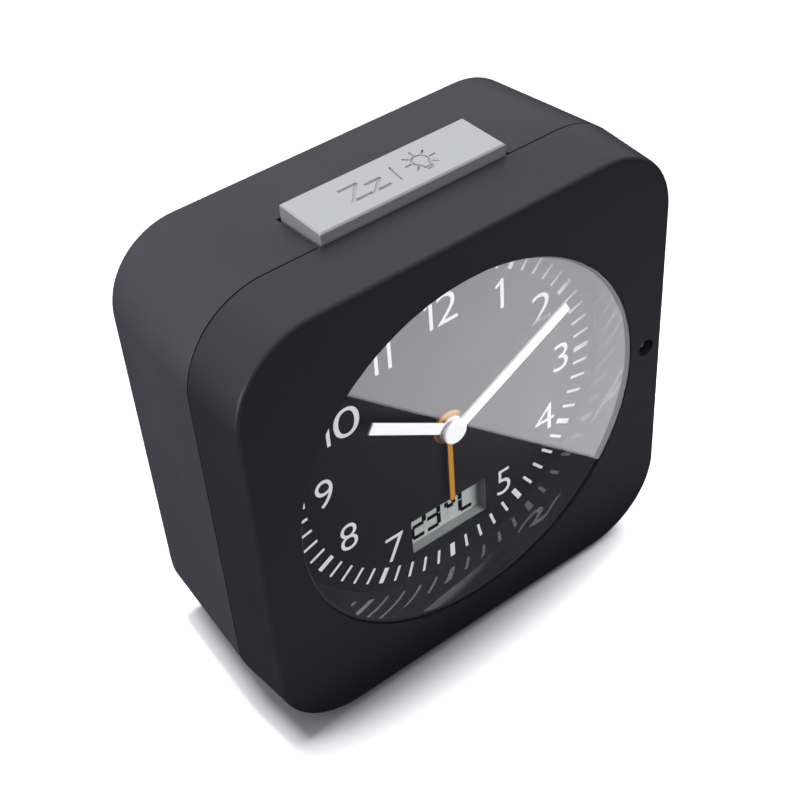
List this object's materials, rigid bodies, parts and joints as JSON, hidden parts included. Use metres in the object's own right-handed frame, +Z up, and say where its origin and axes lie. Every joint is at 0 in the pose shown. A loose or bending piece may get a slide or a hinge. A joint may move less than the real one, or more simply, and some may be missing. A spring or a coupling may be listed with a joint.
{
  "type": "digital alarm clock",
  "caption": "Square bedside alarm clock with a round glazed dial, white hands, orange alarm hand, small thermometer display and a snooze bar on top.",
  "frame": {"origin": "on the surface under the middle of the clock", "axes": "+Z up, -Y the way the dial faces, +X to the right of someone who reads the dial"},
  "size_m": [0.1, 0.044, 0.1029],
  "materials": {
    "casing": "fine matte grain",
    "knob_black": "matte",
    "steel": "nickel plated",
    "sole_rubber": "matte",
    "lens_clear": "polished clear",
    "ring_gloss": "high gloss",
    "dial_black": "satin print",
    "inner_plastic": "moulded",
    "display_frame": "satin",
    "display_glass": "satin",
    "contact_rubber": "matte",
    "dome_rubber": "matte",
    "circuit_board": "solder resist",
    "sensor_clear": "moulded clear",
    "sensor_bead": "dipped",
    "hand_orange": "painted",
    "hand_white": "painted",
    "gear_ivory": "moulded",
    "rotor_magnet": "pressed magnet in plastic",
    "arbor_brass": "turned",
    "movement_white": "moulded",
    "coil_copper": "enamelled wire",
    "button_silver": "silver lacquer",
    "buzzer_black": "moulded",
    "cell_wrap": "printed sleeve"
  },
  "bodies": {
    "case": {"front_case": "casing", "rear_case": "casing", "case_screws": "steel", "inner_screws": "steel", "coil_core": "steel", "stator": "steel", "slide_switch": "steel", "contact_spring": "steel", "contact_plate": "steel", "feet": "sole_rubber", "lens": "lens_clear", "dial_ring": "ring_gloss", "dial": "dial_black", "dial_carrier": "inner_plastic", "button_bracket": "inner_plastic", "lcd_frame": "display_frame", "lcd_glass": "display_glass", "lcd_connector": "contact_rubber", "snooze_dome": "dome_rubber", "main_board": "circuit_board", "button_board": "circuit_board", "light_sensor": "sensor_clear", "temperature_sensor": "sensor_bead", "movement_base": "movement_white", "middle_plate": "movement_white", "movement_cover": "movement_white", "coil": "coil_copper", "buzzer": "buzzer_black", "battery": "cell_wrap"},
    "minute": {"minute_hand": "hand_white", "minute_arbor": "arbor_brass"},
    "hour": {"hour_hand": "hand_white", "hour_wheel": "gear_ivory"},
    "motion_wheel": {"minute_wheel": "gear_ivory"},
    "rotor": {"rotor": "rotor_magnet"},
    "step": {"step_wheel": "gear_ivory"},
    "second": {"second_wheel": "gear_ivory"},
    "third": {"third_wheel": "gear_ivory"},
    "centre": {"centre_wheel": "gear_ivory"},
    "alarm": {"alarm_hand": "hand_orange", "alarm_wheel": "gear_ivory"},
    "time_setting": {"time_knob": "knob_black", "time_shaft": "gear_ivory"},
    "alarm_setting": {"alarm_knob": "knob_black", "alarm_shaft": "gear_ivory"},
    "snooze": {"snooze_button": "button_silver"},
    "slider": {"alarm_slider": "knob_black"},
    "door": {"battery_door": "casing"}
  },
  "joints": [
    {"name": "time_knob_turn", "type": "hinge", "parent": "case", "child": "time_setting", "pos_m": [-0.01538, 0, 0.05777], "axis": [0, 1, 0], "continuous": true},
    {"name": "minute_hand_turn", "type": "hinge", "parent": "case", "child": "minute", "pos_m": [0, 0, 0.0506], "axis": [0, 1, 0], "continuous": true},
    {"name": "motion_wheel_turn", "type": "hinge", "parent": "case", "child": "motion_wheel", "pos_m": [-0.01128, 0, 0.0465], "axis": [0, 1, 0], "continuous": true},
    {"name": "hour_hand_turn", "type": "hinge", "parent": "case", "child": "hour", "pos_m": [0, 0, 0.0506], "axis": [0, 1, 0], "continuous": true},
    {"name": "alarm_knob_turn", "type": "hinge", "parent": "case", "child": "alarm_setting", "pos_m": [0.01541, 0, 0.05778], "axis": [0, 1, 0], "continuous": true},
    {"name": "alarm_hand_turn", "type": "hinge", "parent": "case", "child": "alarm", "pos_m": [0, 0, 0.0506], "axis": [0, 1, 0], "continuous": true},
    {"name": "step_wheel_turn", "type": "hinge", "parent": "case", "child": "step", "pos_m": [-0.00676, 0, 0.06029], "axis": [0, 1, 0], "continuous": true},
    {"name": "rotor_turn", "type": "hinge", "parent": "case", "child": "rotor", "pos_m": [0, 0, 0.0621], "axis": [0, 1, 0], "continuous": true},
    {"name": "second_wheel_turn", "type": "hinge", "parent": "case", "child": "second", "pos_m": [-0.00881, 0, 0.05264], "axis": [0, 1, 0], "continuous": true},
    {"name": "third_wheel_turn", "type": "hinge", "parent": "case", "child": "third", "pos_m": [-0.00656, 0, 0.04444], "axis": [0, 1, 0], "continuous": true},
    {"name": "centre_wheel_turn", "type": "hinge", "parent": "case", "child": "centre", "pos_m": [0, 0, 0.0506], "axis": [0, 1, 0], "continuous": true},
    {"name": "snooze_press", "type": "slide", "parent": "case", "child": "snooze", "axis": [0, 0, -1], "range_m": [0, 0.0012], "stiffness_N_per_m": 700, "springref_m": -0.0008, "deforming": ["snooze_dome"]},
    {"name": "alarm_slide", "type": "slide", "parent": "case", "child": "slider", "axis": [1, 0, 0], "range_m": [0, 0.004]},
    {"name": "battery_door_hinge", "type": "hinge", "parent": "case", "child": "door", "pos_m": [0, 0.0209, 0.0112], "axis": [-1, 0, 0], "range_deg": [0, 90]}
  ],
  "couplings": [
    {"joint": "minute_hand_turn", "follows": "time_knob_turn", "ratio": 1},
    {"joint": "motion_wheel_turn", "follows": "time_knob_turn", "ratio": -0.33333},
    {"joint": "hour_hand_turn", "follows": "time_knob_turn", "ratio": 0.083333},
    {"joint": "alarm_hand_turn", "follows": "alarm_knob_turn", "ratio": -0.7},
    {"joint": "rotor_turn", "follows": "step_wheel_turn", "ratio": -6},
    {"joint": "second_wheel_turn", "follows": "step_wheel_turn", "ratio": -0.2},
    {"joint": "third_wheel_turn", "follows": "step_wheel_turn", "ratio": 0.026667},
    {"joint": "centre_wheel_turn", "follows": "step_wheel_turn", "ratio": -0.0033333}
  ]
}
